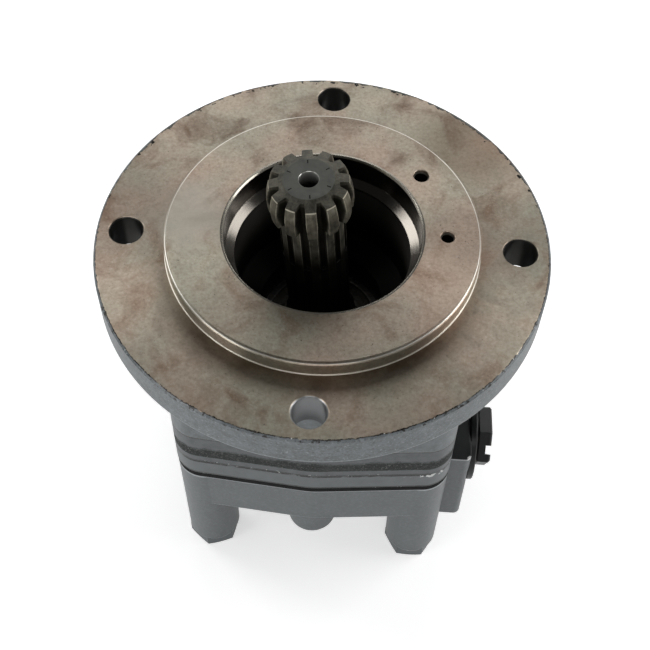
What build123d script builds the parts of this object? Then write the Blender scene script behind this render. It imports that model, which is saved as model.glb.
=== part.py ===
from build123d import *
import math
import os

# Bearingless orbital (roller gerotor) hydraulic motor with a disc valve.
# Millimetres. The origin is the centre of the flange's mounting face, +Z points out along the drive
# shaft, and the ports face +X. Every level below the flange is worked out from the stack of layers.

# Mounting flange and its pilot
flange_d = 150.0
flange_t = 14.0
pilot_d = 103.5
pilot_h = 6.0
mount_hole_d = 11.0
mount_hole_margin = 10.0
mount_circle_d = flange_d - 2 * mount_hole_margin
mount_holes = 4
coupling_bore_d = 64.5
coupling_bore_depth = 9.2
coupling_bore_edge = 0.55
ledge_cone_drop = 1.6
inner_bore_d = 58.5
inner_floor_depth = 30.0
floor_hole_d = 42.6
service_circle_r = 40.6
service_holes = ((0.0, 4.6), (39.0, 5.2))
service_edge = 0.2
service_depth = 9.0

# Square section shared by the barrel, the gear ring, the channel plate and the rear housing
bolt_half_pitch = 39.1
corner_r = 10.3
side_fall = 5.2
side_round_r = 40.0
barrel_length = 49.0
barrel_root_r = 4.0

# Gear set: six lobes rolling inside seven rollers
ring_t = 16.5
roller_count = 7
roller_r = 7.0
roller_circle_r = 33.5
eccentricity = 3.0
gear_gap = 0.05
ring_bore_r = 33.1
wear_plate_r = 43.0
wear_plate_t = 5.0
wear_hole_r = 18.8

# Layers behind the gear set
channel_t = 8.8
channel_hole_r = 17.4
gasket_t = 3.0
gasket_w = 3.4
gasket_inset = 0.15

# Crowned twelve-tooth spline shared by both link shafts, the rotor and the disc valve
teeth = 12
tooth_tip_r = 13.75
tooth_root_r = 9.9
groove_tip_half = 2.2
groove_root_half = 0.4
spline_gap = 0.15
spline_turn = 6.5

# Main link shaft
shaft_r = 10.75
head_top = 30.5
head_length = 13.5
head_lean_x = -4.7
head_lean_y = 0.0
link_crown_length = 13.2
link_crown_relief = 0.6
groove_tail = 20.0
head_relief_top = 1.5
head_relief_low = 0.45
head_groove_relief = 0.3
face_disc_r = 8.1
face_cone_drop = 1.4
centre_hole_r = 3.15
centre_hole_depth = 8.0
centre_hole_edge = 0.3

# Thrust button and valve drive
button_t = 1.0
end_gap = 0.3
link_nose_r = 3.5
link_nose_h = 0.8
valve_nose_h = 1.6
link_engagement = 8.4
valve_crown_length = 6.0
valve_crown_relief = 0.5
valve_end_crown_length = 8.0
valve_end_crown_relief = 0.7
valve_neck_r = 8.6

# Disc valve, balance plate and their chamber
disc_r = 33.5
disc_t = 11.7
disc_hub_r = 18.6
disc_hub_length = 8.3
window_half_width = 2.6
window_depth = 5.0
window_inner_r = 21.5
window_outer_r = 28.5
valve_chamber_r = 36.9
chamber_step = 2.0
face_gap = 0.05
plate_r = 32.4
plate_gap = 0.1
plate_t = 8.6
disc_spring_h = 3.4
disc_spring_t = 1.2
plate_pin_r = 1.5
plate_pin_circle_r = 25.5
plate_pin_reach = 3.0
plate_pin_seat = 4.0
plate_pin_end_gap = 1.0

# Rear housing
rear_plate_t = 22.7
rear_inset = 0.2
draft = 0.6
column_proud = 0.3
column_taper = 0.4
rear_body_r = 41.0
rear_body_length = 34.7
column_length = 54.4
port_face_x = 57.6
port_boss_half = 36.0
port_boss_length = 46.1
port_boss_r = 7.0
port_y = 18.0
port_drop = 13.8
port_bore_r = 9.5
port_depth = 17.0
way_a_r = 3.2
way_a_drop = 7.2
way_b_r = 2.2
way_b_drop = 1.7
spot_face_r = 17.2
spot_face_depth = 0.4
valve_boss_y = 41.9
valve_boss_r = 9.05
valve_boss_length = 37.7
drain_boss_r = 9.5
drain_face_x = 53.0
drain_port_r = 5.7
drain_depth = 9.0
drain_way_r = 2.0

# Check valves in the two round bosses of the rear housing
ball_r = 4.0
ball_lift = 2.0
seat_drop = 14.7
seat_hole_r = 2.6
valve_bore_r = 5.2
seat_hole_top = 5.0
cross_way_r = 1.8
cross_way_drop = 6.9
cross_way_reach = 4.0
check_plug_length = 9.0
spring_wire_r = 0.45
spring_turns = 4

# Fasteners, plugs and seals
bolt_r = 5.0
bolt_gap = 0.25
bolt_engagement = 23.0
bolt_head_af = 17.0
bolt_head_h = 6.4
bolt_turns = (19.5, 41.0, 0.0, 52.0)
plug_disc_r = 16.5
plug_disc_t = 2.6
plug_neck = 1.2
plug_hex_af = 20.8
plug_hex_h = 4.8
plug_hex_turn = -7.0
plug_shank_length = 9.0
plug_slot_w = 3.3
plug_slot_depth = 2.1
plug_slot_offset = -5.1
plug_slot_tilt = 29.5
drain_head_r = 8.6
drain_head_h = 3.6
drain_socket_af = 6.0
washer_t = 1.5
ring_section_r = 1.05
seal_circle_r = 45.8
seat_gap = 0.05
small_chamfer = 0.8

# Levels along the axis, from the flange down
z_gear = -barrel_length
z_channel = z_gear - ring_t
z_seam = z_channel - channel_t
z_rear = z_seam - gasket_t
z_plate_low = z_rear - rear_plate_t
z_body_low = z_rear - rear_body_length
z_column_low = z_rear - column_length
z_disc = z_seam - face_gap
z_disc_low = z_disc - disc_t
z_hub_low = z_disc_low - disc_hub_length
z_balance = z_disc_low - face_gap
z_balance_low = z_balance - plate_t
z_chamber_floor = z_balance_low - disc_spring_h
z_port = z_rear - port_drop
z_seat = z_rear - seat_drop
z_valve_boss_low = z_rear - valve_boss_length
z_drain = (z_chamber_floor + z_body_low) / 2

# The rotor's centre at rest lies one eccentricity from the axis, towards the first roller
rest_phase = 90.0
rotor_x = eccentricity * math.cos(math.radians(rest_phase))
rotor_y = eccentricity * math.sin(math.radians(rest_phase))

# Joint centres of the two link shafts
z_link_low = z_gear - link_engagement
z_link_centre = z_link_low + link_crown_length / 2
z_button = z_link_low - link_nose_h - end_gap
z_valve_top = z_button - button_t - end_gap - valve_nose_h
z_valve_centre = z_valve_top - valve_crown_length / 2
z_valve_end_centre = z_hub_low + 0.5 + valve_end_crown_length / 2

FLOOR = (Align.CENTER, Align.CENTER, Align.MIN)


def post(radius, low, high, x=0.0, y=0.0):
    """Upright cylinder between two levels."""
    return Pos(x, y, low) * Cylinder(radius, high - low, align=FLOOR)


def cone(radius_low, radius_high, low, high, x=0.0, y=0.0):
    """Upright cone frustum between two levels."""
    return Pos(x, y, low) * Cone(radius_low, radius_high, high - low, align=FLOOR)


def ring(outer, inner, low, high):
    """Flat ring between two levels."""
    return post(outer, low, high) - post(inner, low - 1, high + 1)


def rod_x(radius, x0, x1, y, z):
    """Cylinder along X between two stations."""
    return Pos(x0, y, z) * Rot(0, 90, 0) * Cylinder(radius, x1 - x0, align=FLOOR)


def corners():
    """The four body-bolt axes."""
    return [(bolt_half_pitch * sx, bolt_half_pitch * sy) for sx in (-1, 1) for sy in (-1, 1)]


def body_outline(inset=0.0):
    """Square with rounded corners whose sides rise to a blunt ridge at mid-length."""
    fall = math.radians(side_fall)
    radius = corner_r - inset
    middle = bolt_half_pitch * (1 + math.tan(fall)) + radius / math.cos(fall)
    run = side_round_r * math.sin(fall)
    rise = side_round_r / math.cos(fall) - side_round_r
    edges = []
    for quarter in range(4):
        turn = Rot(0, 0, 90 * quarter)
        cx = bolt_half_pitch
        low = (cx + radius * math.cos(fall), cx + radius * math.sin(fall))
        mid = (cx + radius * math.sqrt(0.5), cx + radius * math.sqrt(0.5))
        high = (cx + radius * math.sin(fall), cx + radius * math.cos(fall))
        ridge_x = middle - run * math.tan(fall)
        before = (ridge_x, -run)
        after = (ridge_x, run)
        crest = (middle - rise, 0.0)
        next_before = (run, ridge_x)
        edges.append(turn * ThreePointArc(before, crest, after))
        edges.append(turn * Line(after, low))
        edges.append(turn * ThreePointArc(low, mid, high))
        edges.append(turn * Line(high, next_before))
    return make_face(edges)


def layer(low, high, inset=0.0):
    """Plate of the shared square section between two levels."""
    return extrude(Pos(0, 0, low) * body_outline(inset), amount=high - low)


def seal_groove(face, depth_dir):
    """Round seal groove cut into a face, open towards +Z (1) or -Z (-1)."""
    depth = 2 * ring_section_r
    half = ring_section_r + 0.25
    low = face - depth if depth_dir > 0 else face
    return ring(seal_circle_r + half, seal_circle_r - half, low, low + depth)


def seal_ring(level, circle_r=seal_circle_r, section_r=ring_section_r - seat_gap / 2):
    """Round-section seal lying at a level."""
    return Pos(0, 0, level) * Torus(circle_r, section_r)


def rotor_outline():
    """Six-lobed curve that keeps every roller at the same running gap."""
    offset = roller_r + gear_gap
    points = []
    steps = 16 * (roller_count - 1)
    for step in range(steps):
        t = 2 * math.pi * step / steps
        x = roller_circle_r * math.cos(t) - eccentricity * math.cos(roller_count * t)
        y = roller_circle_r * math.sin(t) - eccentricity * math.sin(roller_count * t)
        dx = -roller_circle_r * math.sin(t) + roller_count * eccentricity * math.sin(roller_count * t)
        dy = roller_circle_r * math.cos(t) - roller_count * eccentricity * math.cos(roller_count * t)
        speed = math.hypot(dx, dy)
        points.append((x - offset * dy / speed, y + offset * dx / speed))
    return make_face(Spline(points, periodic=True))


def groove_section(level, relief=0.0):
    """Trapezoid between two male teeth, opened by the crown's relief."""
    inner = tooth_root_r - relief
    outer = tooth_tip_r + 1.0
    root = groove_root_half + relief
    tip = groove_tip_half + relief
    points = [(inner, -root), (outer, -tip), (outer, tip), (inner, root)]
    return Pos(0, 0, level) * make_face(Polyline(points, close=True))


def crown_grooves(centre, length, relief, tail_up=0.0, tail_down=0.0):
    """Twelve grooves of a crowned spline: narrow at mid-length and opening towards both ends."""
    half = length / 2
    past = 0.5
    end_relief = relief * (half + past) / half
    middle = groove_section(centre)
    top = groove_section(centre + half + past, end_relief)
    bottom = groove_section(centre - half - past, end_relief)
    groove = loft([middle, top], ruled=True) + loft([bottom, middle], ruled=True)
    if tail_up > 0:
        groove += extrude(top, amount=tail_up)
    if tail_down > 0:
        groove += extrude(bottom, amount=-tail_down)
    start = 180 / teeth + spline_turn
    return [Rot(0, 0, start + i * 360 / teeth) * groove for i in range(teeth)]


def barrel(centre, length, relief, relief_top=None):
    """Crowned blank of a splined end; its upper end may fall away more than its lower one."""
    half = length / 2
    low = (tooth_tip_r - relief, centre - half)
    mid = (tooth_tip_r, centre)
    high = (tooth_tip_r - (relief if relief_top is None else relief_top), centre + half)
    side = ThreePointArc(low, mid, high)
    base = Polyline([high, (0, centre + half), (0, centre - half), low])
    profile = make_face([side, base])
    return revolve(Plane.XZ * profile, axis=Axis.Z)


def female_spline(low, high):
    """Cutter for a twelve-tooth socket, clear of the male teeth all round."""
    minor = tooth_root_r + spline_gap + 0.35
    major = tooth_tip_r + spline_gap
    cutter = post(major, low, high)
    inner = minor
    outer = major + 1.0
    slope = (groove_tip_half - groove_root_half) / (tooth_tip_r + 1.0 - tooth_root_r)
    root = groove_root_half + slope * (inner - tooth_root_r) - spline_gap
    tip = groove_root_half + slope * (outer - tooth_root_r) - spline_gap
    tooth_face = make_face(Polyline([(inner, -root), (outer, -tip), (outer, tip), (inner, root)], close=True))
    tooth = extrude(Pos(0, 0, low - 1) * tooth_face, amount=high - low + 2)
    start = 180 / teeth + spline_turn
    return cutter - [Rot(0, 0, start + i * 360 / teeth) * tooth for i in range(teeth)]


def roller_place(index):
    """Centre of one roller."""
    angle = math.radians(rest_phase + index * 360 / roller_count)
    return roller_circle_r * math.cos(angle), roller_circle_r * math.sin(angle)


def link_place():
    """Frame of the main link shaft: its joint centre in the rotor and its leaning axis."""
    rise = head_top - z_link_centre
    axis = Vector(head_lean_x - rotor_x, head_lean_y - rotor_y, rise)
    plane = Plane(origin=(rotor_x, rotor_y, z_link_centre), x_dir=(rise, 0, rotor_x - head_lean_x), z_dir=axis)
    return plane, axis.length


def valve_place():
    """Frame of the valve drive: from its joint centre in the rotor to the disc valve's centre."""
    drop = z_valve_centre - z_valve_end_centre
    axis = Vector(rotor_x, rotor_y, drop)
    plane = Plane(origin=(rotor_x, rotor_y, z_valve_centre), x_dir=(drop, 0, -rotor_x), z_dir=axis)
    return plane, axis.length


def barrel_root():
    """Hollow-curved root that widens the barrel where it meets the flange."""
    sections = []
    for part in (0.0, 0.12, 0.4, 1.0):
        spread = barrel_root_r * (1 - math.sqrt(2 * part - part ** 2))
        sections.append(Pos(0, 0, -flange_t - barrel_root_r * part) * body_outline(-spread))
    return loft(sections, ruled=True)


def make_mounting_flange():
    """Front casting: round flange, pilot, square barrel and the stepped bore down to the gear set."""
    disc = post(flange_d / 2, -flange_t, 0)
    disc = chamfer(disc.edges().group_by(Axis.Z)[-1], small_chamfer)
    disc = fillet(disc.edges().group_by(Axis.Z)[0], 2.0)
    pilot = post(pilot_d / 2, 0, pilot_h)
    pilot = chamfer(pilot.edges().group_by(Axis.Z)[-1], 1.0)
    body = disc + layer(z_gear, 0.5 - flange_t) + barrel_root() + pilot
    ledge = pilot_h - coupling_bore_depth
    body -= post(coupling_bore_d / 2, ledge, pilot_h + 1)
    edge_r = coupling_bore_d / 2 + coupling_bore_edge
    body -= cone(coupling_bore_d / 2, edge_r, pilot_h - coupling_bore_edge, pilot_h)
    body -= post(inner_bore_d / 2, -inner_floor_depth, ledge)
    body -= cone(inner_bore_d / 2, coupling_bore_d / 2, ledge - ledge_cone_drop, ledge)
    cone_drop = (inner_bore_d - floor_hole_d) / 4
    body -= cone(floor_hole_d / 2, inner_bore_d / 2, -inner_floor_depth - cone_drop, -inner_floor_depth)
    body -= post(floor_hole_d / 2, z_gear - 1, -inner_floor_depth)
    body -= post(wear_plate_r + seat_gap, z_gear - 1, z_gear + wear_plate_t)
    body -= seal_groove(z_gear, -1)
    for i in range(mount_holes):
        angle = math.radians(i * 360 / mount_holes)
        x = mount_circle_d / 2 * math.cos(angle)
        y = mount_circle_d / 2 * math.sin(angle)
        body -= post(mount_hole_d / 2, z_gear - 1, pilot_h + 1, x, y)
        body -= cone(mount_hole_d / 2, mount_hole_d / 2 + 0.5, -0.5, 0, x, y)
    for angle_deg, diameter in service_holes:
        x = service_circle_r * math.cos(math.radians(angle_deg))
        y = service_circle_r * math.sin(math.radians(angle_deg))
        body -= post(diameter / 2, pilot_h - service_depth, pilot_h + 1, x, y)
        body -= cone(diameter / 2, diameter / 2 + service_edge, pilot_h - service_edge, pilot_h, x, y)
    for x, y in corners():
        body -= post(bolt_r + seat_gap, z_gear - 1, z_gear + bolt_engagement + 3, x, y)
    return body


def make_wear_plate():
    """Hardened ring that seals the front of the gear set."""
    plate = ring(wear_plate_r, wear_hole_r, z_gear + face_gap, z_gear + wear_plate_t)
    return chamfer(plate.edges().filter_by(GeomType.CIRCLE).group_by(Axis.Z)[-1], 0.4)


def make_stator_ring():
    """Gear ring with seven half-round pockets for the rollers."""
    body = layer(z_channel, z_gear)
    body -= post(ring_bore_r, z_channel - 1, z_gear + 1)
    for i in range(roller_count):
        x, y = roller_place(i)
        body -= post(roller_r + gear_gap, z_channel - 1, z_gear + 1, x, y)
    for x, y in corners():
        body -= post(bolt_r + bolt_gap, z_channel - 1, z_gear + 1, x, y)
    return body


def make_roller(index):
    """Hardened roller with broken edges."""
    x, y = roller_place(index)
    roller = post(roller_r, z_channel + face_gap, z_gear - face_gap, x, y)
    return chamfer(roller.edges().filter_by(GeomType.CIRCLE), 0.3)


def make_rotor():
    """Six-lobed rotor with a splined bore, one eccentricity off the axis."""
    low = z_channel + face_gap
    high = z_gear - face_gap
    body = extrude(Pos(0, 0, low) * rotor_outline(), amount=high - low)
    body -= female_spline(low - 1, high + 1)
    body -= cone(tooth_root_r, tooth_tip_r + 0.9, high - 1.2, high + 1e-3)
    return Pos(rotor_x, rotor_y, 0) * Rot(0, 0, rest_phase) * body


def make_cardan_shaft():
    """Main link shaft: crowned spline in the rotor, round middle and crowned head standing out of the bore."""
    plane, length = link_place()
    head_centre = length - head_length / 2
    head = barrel(head_centre, head_length, head_relief_low, head_relief_top)
    face = cone(tooth_tip_r + 1, face_disc_r, length - face_cone_drop, length)
    head &= face + post(tooth_tip_r + 1, 0, length - face_cone_drop)
    tail = barrel(0, link_crown_length, link_crown_relief)
    middle = post(shaft_r, 0, head_centre)
    end = -link_crown_length / 2
    nose = cone(link_nose_r / 2, link_nose_r, end - link_nose_h, end) + post(link_nose_r, end, 0)
    body = head + tail + middle
    body -= crown_grooves(head_centre, head_length, head_groove_relief, tail_down=groove_tail)
    body -= crown_grooves(0, link_crown_length, link_crown_relief, tail_up=4.0)
    body += nose
    body -= post(centre_hole_r, length - centre_hole_depth, length + 1)
    body -= cone(centre_hole_r, centre_hole_r + centre_hole_edge, length - centre_hole_edge, length)
    return plane.location * body


def make_thrust_button():
    """Loose hardened disc between the ends of the two link shafts."""
    button = post(tooth_root_r - 0.1, z_button - button_t, z_button, rotor_x, rotor_y)
    return chamfer(button.edges().filter_by(GeomType.CIRCLE), 0.25)


def make_valve_drive():
    """Short link shaft that turns the disc valve in step with the rotor."""
    plane, length = valve_place()
    front = barrel(0, valve_crown_length, valve_crown_relief)
    rear = barrel(-length, valve_end_crown_length, valve_end_crown_relief)
    neck = post(valve_neck_r, -length, 0)
    end = valve_crown_length / 2
    nose = cone(link_nose_r, link_nose_r / 2, end, end + valve_nose_h) + post(link_nose_r, 0, end)
    body = front + rear + neck
    body -= crown_grooves(0, valve_crown_length, valve_crown_relief, tail_down=2.5)
    body -= crown_grooves(-length, valve_end_crown_length, valve_end_crown_relief, tail_up=2.5)
    body += nose
    return plane.location * body


def make_channel_plate():
    """Plate with seven drilled ways from the gear chambers to the valve face."""
    body = layer(z_seam, z_channel)
    body -= post(channel_hole_r, z_seam - 1, z_channel + 1)
    gear_end_r = roller_circle_r - roller_r + 1.2
    valve_end_r = (window_inner_r + window_outer_r) / 2
    for i in range(roller_count):
        turn = Rot(0, 0, rest_phase + (i + 0.5) * 360 / roller_count)
        upper = Pos(gear_end_r, 0, z_channel - channel_t / 2) * Cylinder(2.3, channel_t)
        lower = Pos(valve_end_r, 0, z_seam + channel_t / 4) * Cylinder(2.3, channel_t / 2)
        body -= turn * (upper + lower)
    for x, y in corners():
        body -= post(bolt_r + bolt_gap, z_seam - 1, z_channel + 1, x, y)
    body -= seal_groove(z_channel, 1)
    return body


def make_disc_valve():
    """Rotating valve: twelve windows by turns open to its rim and through to its back."""
    disc = post(disc_r, z_disc_low, z_disc)
    hub = post(disc_hub_r, z_hub_low, z_disc_low)
    body = disc + hub
    body -= post(channel_hole_r - 1.4, z_disc - window_depth - 2, z_disc + 1)
    body -= female_spline(z_hub_low - 1, z_disc)
    for i in range(teeth):
        turn = Rot(0, 0, i * 360 / teeth)
        if i % 2 == 0:
            start, end = window_inner_r, disc_r + 1
        else:
            start, end = window_inner_r, window_outer_r
        slot = Pos((start + end) / 2, 0, z_disc - window_depth / 2)
        slot *= Box(end - start, 2 * window_half_width, window_depth)
        body -= turn * slot
        if i % 2 == 1:
            body -= turn * post(window_half_width - 0.2, z_disc_low - 1, z_disc, (start + end) / 2)
    return body


def make_balance_plate():
    """Ring pressed against the back of the disc valve."""
    body = ring(plate_r, disc_hub_r + plate_gap, z_balance_low, z_balance)
    middle = (z_balance + z_balance_low) / 2
    half = ring_section_r + 0.25
    body -= ring(plate_r + 1, plate_r - 2 * ring_section_r + 0.1, middle - half, middle + half)
    for i in range(teeth // 2):
        turn = Rot(0, 0, (2 * i + 1) * 360 / teeth)
        body -= turn * post(window_half_width - 0.2, z_balance_low - 1, z_balance + 1,
                            (window_inner_r + window_outer_r) / 2)
    for sign in (-1, 1):
        reach = z_balance_low + plate_pin_reach + plate_pin_end_gap
        body -= post(plate_pin_r + plate_gap, z_balance_low - 1, reach, 0, sign * plate_pin_circle_r)
    return body


def make_balance_seal():
    """Round seal in the balance plate's rim groove."""
    return seal_ring((z_balance + z_balance_low) / 2, plate_r - ring_section_r + 0.12)


def make_balance_spring():
    """Cone spring that holds the balance plate up."""
    low = z_chamber_floor
    high = z_balance_low
    inner_r = disc_hub_r + 1.2
    outer_r = plate_pin_circle_r - plate_pin_r - 0.6
    points = [(outer_r, low), (outer_r, low + disc_spring_t), (inner_r, high), (inner_r, high - disc_spring_t)]
    return revolve(Plane.XZ * make_face(Polyline(points, close=True)), axis=Axis.Z)


def make_balance_pins():
    """Two pins that stop the balance plate from turning."""
    low = z_chamber_floor - plate_pin_seat
    high = z_balance_low + plate_pin_reach
    pins = [post(plate_pin_r, low, high, 0, sign * plate_pin_circle_r) for sign in (-1, 1)]
    return Compound(children=pins)


def make_body_gasket():
    """Black square-section seal that fills the open joint above the rear housing."""
    outer = layer(z_rear, z_seam, gasket_inset)
    return outer - layer(z_rear - 1, z_seam + 1, gasket_inset + gasket_w)


def make_rear_housing():
    """Rear casting: valve chamber, port boss, bolt columns, check-valve bosses and drain boss."""
    outline = Pos(0, 0, z_rear) * body_outline(rear_inset + column_proud)
    plate = extrude(outline, amount=-rear_plate_t, taper=draft)
    spigot = layer(z_rear - 1, z_seam, gasket_inset + gasket_w + seat_gap)
    core = cone(rear_body_r - 1.0, rear_body_r, z_body_low, z_rear)
    core = fillet(core.edges().group_by(Axis.Z)[0], 3.0)
    body = plate + spigot + core
    for x, y in corners():
        top_r = corner_r - rear_inset
        body += cone(top_r - column_taper, top_r, z_column_low, z_rear, x, y)
    boss_depth = port_face_x - bolt_half_pitch / 2
    boss = Pos(port_face_x - boss_depth / 2, 0, z_rear - port_boss_length)
    boss *= Box(boss_depth, 2 * port_boss_half, port_boss_length, align=FLOOR)
    outer_face = boss.faces().sort_by(Axis.X)[-1]
    sides = outer_face.edges().filter_by(Axis.Z)
    boss = fillet(sides, port_boss_r * 0.35)
    boss = fillet(boss.edges().group_by(Axis.Z)[0], port_boss_r * 0.35 - 0.2)
    body += boss
    for sign in (-1, 1):
        lug = post(valve_boss_r, z_valve_boss_low, z_rear, 0, sign * valve_boss_y)
        body += fillet(lug.edges().group_by(Axis.Z)[0], 1.5)
    body += rod_x(drain_boss_r, -drain_face_x, -rear_body_r + 4, 0, z_drain)
    body -= post(valve_chamber_r, z_disc_low - chamber_step, z_seam + 1)
    body -= post(plate_r + plate_gap, z_chamber_floor, z_seam + 1)
    for sign in (-1, 1):
        body -= post(plate_pin_r + seat_gap, z_chamber_floor - plate_pin_seat, z_chamber_floor + 1, 0,
                     sign * plate_pin_circle_r)
    for x, y in corners():
        body -= post(bolt_r + bolt_gap, z_column_low - 1, z_seam + 1, x, y)
    bottom_x = port_face_x - port_depth
    for sign in (-1, 1):
        body -= rod_x(port_bore_r, bottom_x, port_face_x + 1, sign * port_y, z_port)
        body -= rod_x(spot_face_r, port_face_x - spot_face_depth, port_face_x + 1, sign * port_y, z_port)
    body -= rod_x(way_a_r, valve_chamber_r / 2, bottom_x + 1, -port_y, z_rear - way_a_drop)
    body -= rod_x(way_b_r, valve_chamber_r / 2, bottom_x + 1, port_y, z_balance_low - way_b_drop)
    for sign in (-1, 1):
        y = sign * valve_boss_y
        body -= post(valve_bore_r, z_valve_boss_low - 1, z_seat, 0, y)
        body -= post(seat_hole_r, z_seat - 1, z_rear - seat_hole_top, 0, y)
        middle_y = sign * (valve_boss_y + valve_chamber_r) / 2
        reach = valve_boss_y - valve_chamber_r + cross_way_reach
        body -= Pos(0, middle_y, z_rear - cross_way_drop) * Rot(90, 0, 0) * Cylinder(cross_way_r, reach)
    body -= rod_x(drain_port_r, -drain_face_x - 1, -drain_face_x + drain_depth, 0, z_drain)
    body -= rod_x(drain_way_r, -drain_face_x, 0, 0, z_drain)
    body -= post(drain_way_r, z_drain, z_chamber_floor + 1)
    return body


def make_body_bolts():
    """Four long hexagon-head screws that clamp the whole stack from the rear."""
    bolts = []
    for (x, y), turn in zip(corners(), bolt_turns):
        shank = post(bolt_r, z_column_low, z_gear + bolt_engagement, x, y)
        shank = chamfer(shank.edges().group_by(Axis.Z)[-1], small_chamfer)
        head = extrude(RegularPolygon(bolt_head_af / 2, 6, major_radius=False), amount=bolt_head_h)
        bevel = cone(bolt_head_af / 2 - 0.2, bolt_head_af / 2 + 2.2, 0, 1.4) + post(bolt_head_af, 1.4, bolt_head_h)
        bolts.append(shank + Pos(x, y, z_column_low - bolt_head_h) * Rot(0, 0, turn) * (head & bevel))
    return Compound(children=bolts)


def make_port_plug(sign):
    """Plastic transport plug: hollow shank, round flange, neck and slotted hexagon head."""
    disc_x = port_face_x - spot_face_depth
    hex_x = disc_x + plug_disc_t + plug_neck
    shank = Cylinder(port_bore_r - 0.1, plug_shank_length + 0.5, align=FLOOR)
    shank -= Cylinder(port_bore_r - 2.2, plug_shank_length, align=FLOOR)
    flange = Pos(0, 0, plug_shank_length) * Cylinder(plug_disc_r, plug_disc_t, align=FLOOR)
    flange = chamfer(flange.edges().filter_by(GeomType.CIRCLE), 0.4)
    neck = Pos(0, 0, plug_shank_length + plug_disc_t) * Cylinder(plug_hex_af / 2 - 1.2, plug_neck, align=FLOOR)
    outline = RegularPolygon(plug_hex_af / 2, 6, major_radius=False, rotation=plug_hex_turn)
    head = extrude(outline, amount=plug_hex_h)
    head = chamfer(head.edges().group_by(Axis.Z)[-1], 0.7)
    slot = Pos(plug_slot_offset, 0, plug_hex_h - plug_slot_depth / 2)
    slot *= Box(plug_slot_w, 3 * plug_hex_af, plug_slot_depth)
    head -= Rot(0, 0, plug_slot_tilt) * slot
    head = Pos(0, 0, plug_shank_length + plug_disc_t + plug_neck) * head
    plug = shank + flange + neck + head
    start = Plane(origin=(disc_x - plug_shank_length, sign * port_y, z_port), x_dir=(0, 1, 0), z_dir=(1, 0, 0))
    return start.location * plug


def make_drain_plug():
    """Screwed plug with a round head and a hexagon socket."""
    shank = Cylinder(drain_port_r - 0.05, drain_depth - 1.5, align=FLOOR)
    head = Pos(0, 0, drain_depth - 1.5) * Cylinder(drain_head_r, drain_head_h, align=FLOOR)
    head = chamfer(head.edges().group_by(Axis.Z)[-1], 0.6)
    socket = extrude(RegularPolygon(drain_socket_af / 2, 6, major_radius=False), amount=drain_head_h)
    plug = shank + head - Pos(0, 0, drain_depth) * socket
    start_x = -drain_face_x - washer_t + drain_depth - 1.5
    place = Plane(origin=(start_x, 0, z_drain), x_dir=(0, 1, 0), z_dir=(-1, 0, 0))
    return place.location * plug


def make_drain_washer():
    """Bonded washer under the drain plug."""
    outer = rod_x(drain_head_r, -drain_face_x - washer_t, -drain_face_x, 0, z_drain)
    return outer - rod_x(drain_port_r + 0.1, -drain_face_x - 2 * washer_t, -drain_face_x + 1, 0, z_drain)


def ball_centre():
    """Level of a check ball that rests on its seat."""
    return z_seat - math.sqrt(ball_r ** 2 - seat_hole_r ** 2) - seat_gap


def make_check_ball(sign):
    """Steel ball of one check valve."""
    return Pos(0, sign * valve_boss_y, ball_centre()) * Sphere(ball_r)


def spring_levels():
    """Ends of a check spring: on its plug and against the ball."""
    circle_r = valve_bore_r - spring_wire_r - 1.2
    low = z_valve_boss_low + check_plug_length + seat_gap
    high = ball_centre() - math.sqrt(ball_r ** 2 - circle_r ** 2) - seat_gap
    return circle_r, low, high


def make_check_spring(sign):
    """Coil spring that seats one ball."""
    circle_r, low, high = spring_levels()
    span = high - low - 3 * spring_wire_r
    path = Helix(span / spring_turns, span, circle_r)
    section = Plane(origin=path @ 0, z_dir=path % 0) * RegularPolygon(spring_wire_r, 6)
    coil = sweep(section, path=path)
    return Pos(0, sign * valve_boss_y, low + 1.5 * spring_wire_r) * coil


def make_check_plugs():
    """Two flush screwed plugs with hexagon sockets under the check springs."""
    plugs = []
    socket = extrude(RegularPolygon(2.5, 6, major_radius=False), amount=5.0)
    for sign in (-1, 1):
        plug = Cylinder(valve_bore_r - seat_gap, check_plug_length, align=FLOOR) - socket
        plugs.append(Pos(0, sign * valve_boss_y, z_valve_boss_low) * plug)
    return Compound(children=plugs)


def make_parts():
    """Every node by name."""
    parts = {
        "mounting_flange": make_mounting_flange(),
        "wear_plate": make_wear_plate(),
        "stator_ring": make_stator_ring(),
        "rotor": make_rotor(),
        "cardan_shaft": make_cardan_shaft(),
        "thrust_button": make_thrust_button(),
        "valve_drive": make_valve_drive(),
        "channel_plate": make_channel_plate(),
        "disc_valve": make_disc_valve(),
        "balance_plate": make_balance_plate(),
        "balance_seal": make_balance_seal(),
        "balance_spring": make_balance_spring(),
        "balance_pins": make_balance_pins(),
        "front_seal": seal_ring(z_gear + ring_section_r),
        "channel_seal": seal_ring(z_channel - ring_section_r),
        "body_gasket": make_body_gasket(),
        "rear_housing": make_rear_housing(),
        "body_bolts": make_body_bolts(),
        "port_plug_a": make_port_plug(-1),
        "port_plug_b": make_port_plug(1),
        "drain_plug": make_drain_plug(),
        "drain_washer": make_drain_washer(),
        "check_plugs": make_check_plugs(),
    }
    for i in range(roller_count):
        parts[f"roller_{i + 1}"] = make_roller(i)
    for name, sign in (("a", -1), ("b", 1)):
        parts[f"check_ball_{name}"] = make_check_ball(sign)
        parts[f"check_spring_{name}"] = make_check_spring(sign)
    return parts


def main():
    os.makedirs("parts", exist_ok=True)
    for name, shape in make_parts().items():
        export_step(shape, f"parts/{name}.step")
    print("link joint centre", rotor_x, rotor_y, z_link_centre, "head", head_lean_x, head_lean_y, head_top)
    print("valve joint centre", rotor_x, rotor_y, z_valve_centre, "valve end", z_valve_end_centre)
    print("levels", z_gear, z_channel, z_seam, z_rear, z_body_low, z_column_low, z_port, z_drain)


main()
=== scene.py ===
import bmesh
import bpy
import math
from mathutils import Matrix, Vector


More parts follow.
